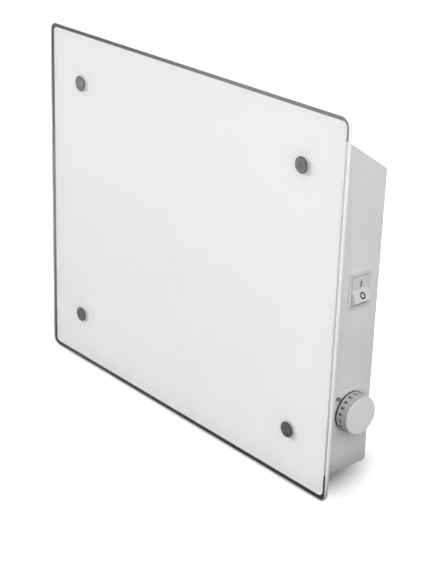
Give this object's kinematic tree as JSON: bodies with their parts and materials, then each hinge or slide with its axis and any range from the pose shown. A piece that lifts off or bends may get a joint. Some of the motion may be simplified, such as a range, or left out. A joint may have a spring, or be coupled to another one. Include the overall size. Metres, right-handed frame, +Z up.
{
  "type": "electric panel heater",
  "caption": "Wall-mounted electric convector heater: white printed glass panel with steel caps before a slim vented casing with rocker switch, thermostat knob and hook-on wall bracket.",
  "frame": {"origin": "middle of the four wall-screw holes, on the wall's surface at the back of the bracket", "axes": "+X towards the side with the switch and knob, +Y into the wall, +Z up; the glass faces -Y"},
  "size_m": [0.42, 0.0858, 0.35],
  "materials": {
    "white_enamel": "satin",
    "printed_glass": "polished, ground edges, white print behind",
    "satin_steel": "satin",
    "zinc_steel": "zinc plated",
    "bare_aluminium": "mill",
    "steatite": "glazed",
    "clear_nylon": "smooth",
    "black_rubber": "matt",
    "white_moulding": "satin",
    "grey_moulding": "satin",
    "black_moulding": "matt",
    "phenolic": "matt",
    "brass_plated": "tinned",
    "brown_silicone": "smooth",
    "white_silicone": "smooth",
    "blue_silicone": "smooth",
    "earth_silicone": "smooth"
  },
  "bodies": {
    "bracket": {"wall_bracket": "white_enamel"},
    "heater": {"casing": "white_enamel", "front_plate": "white_enamel", "front_plate_screws": "zinc_steel", "front_glass": "printed_glass", "glass_caps": "satin_steel", "cap_washers": "clear_nylon", "glass_spacers": "black_rubber", "weld_nuts": "zinc_steel", "partition": "zinc_steel", "partition_rivets": "bare_aluminium", "heat_shield": "bare_aluminium", "shield_rivets": "bare_aluminium", "end_bracket_rivets": "bare_aluminium", "element_profile": "bare_aluminium", "element_rod": "satin_steel", "element_pins": "satin_steel", "element_bushings": "steatite", "element_bracket": "zinc_steel", "cutout_cup": "bare_aluminium", "cutout_body": "phenolic", "cutout_blades": "brass_plated", "cutout_screws": "zinc_steel", "terminal_block": "white_moulding", "terminal_screws": "zinc_steel", "block_screws": "zinc_steel", "earth_stud": "zinc_steel", "earth_lug": "brass_plated", "earth_nut": "zinc_steel", "cable_gland": "white_moulding", "gland_nut": "white_moulding", "switch_housing": "white_moulding", "switch_blades": "brass_plated", "thermostat_body": "phenolic", "thermostat_blades": "brass_plated", "thermostat_nut": "zinc_steel", "index_pointer": "grey_moulding", "lead_live": "brown_silicone", "lead_switched": "white_silicone", "lead_limited": "white_silicone", "lead_heater": "white_silicone", "lead_neutral": "blue_silicone", "lead_earth": "earth_silicone"},
    "rocker": {"rocker": "white_moulding"},
    "knob": {"knob": "white_moulding", "thermostat_shaft": "satin_steel"}
  },
  "joints": [
    {"name": "lift_off", "type": "slide", "parent": "bracket", "child": "heater", "axis": [0, 0, 1], "range_m": [0, 0.012]},
    {"name": "rocker_tilt", "type": "hinge", "parent": "heater", "child": "rocker", "pos_m": [0.1896, -0.0443, 0.0138], "axis": [0, 1, 0], "range_deg": [0, 28]},
    {"name": "knob_turn", "type": "hinge", "parent": "heater", "child": "knob", "pos_m": [0.1935, -0.0443, -0.101], "axis": [-1, 0, 0], "range_deg": [-86, 94]}
  ]
}
